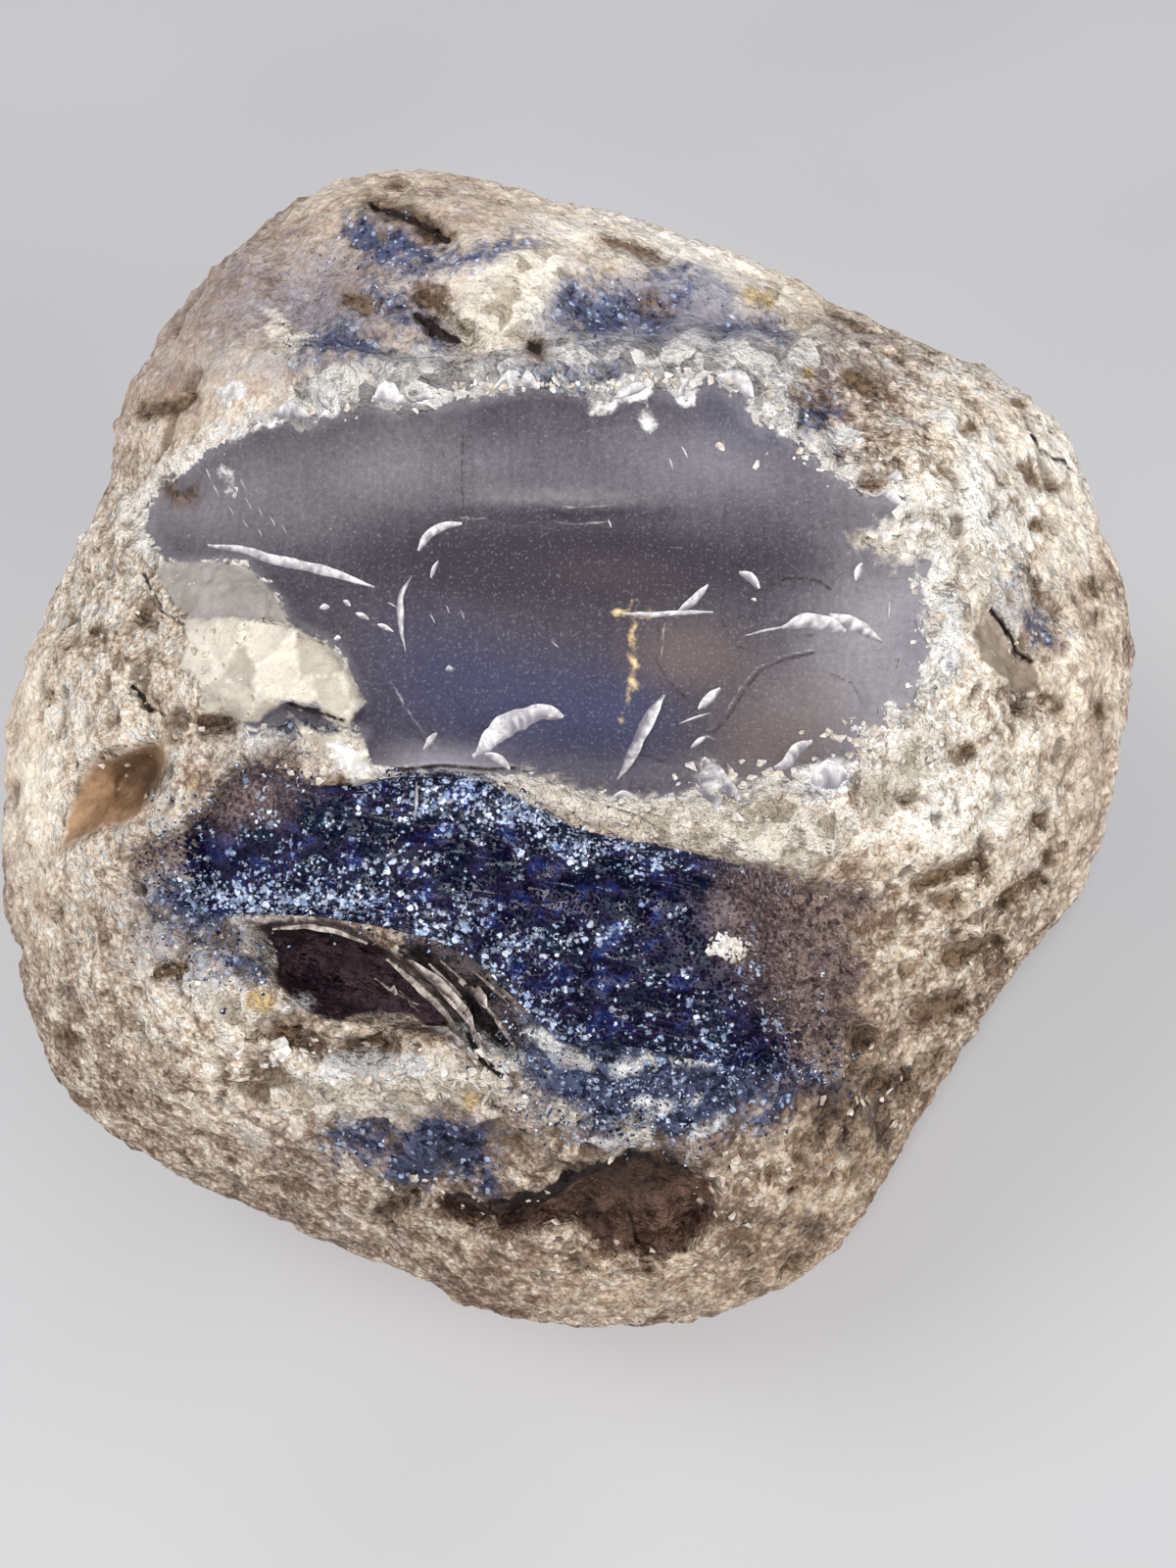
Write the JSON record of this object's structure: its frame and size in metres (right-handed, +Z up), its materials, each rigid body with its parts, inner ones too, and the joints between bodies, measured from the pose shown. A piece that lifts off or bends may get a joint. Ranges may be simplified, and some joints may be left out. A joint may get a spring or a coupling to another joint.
{
  "type": "agate nodule",
  "caption": "Weathered agate nodule with a broken open face: a smooth chalcedony window, a crystal-lined trough and a deep cavity, resting on a small flat spot.",
  "frame": {"origin": "the bottom centre of the stone's box, on the floor that it rests on", "axes": "+Z up, and the open face looks towards -Y and 55 degrees above the horizon"},
  "size_m": [0.0946, 0.094, 0.0863],
  "materials": {
    "agate_stone": "weathered pale rind, waxy where broken",
    "quartz_druse": "fine glittering crystals"
  },
  "bodies": {
    "root": {"nodule": "agate_stone", "druse": "quartz_druse"}
  },
  "joints": []
}
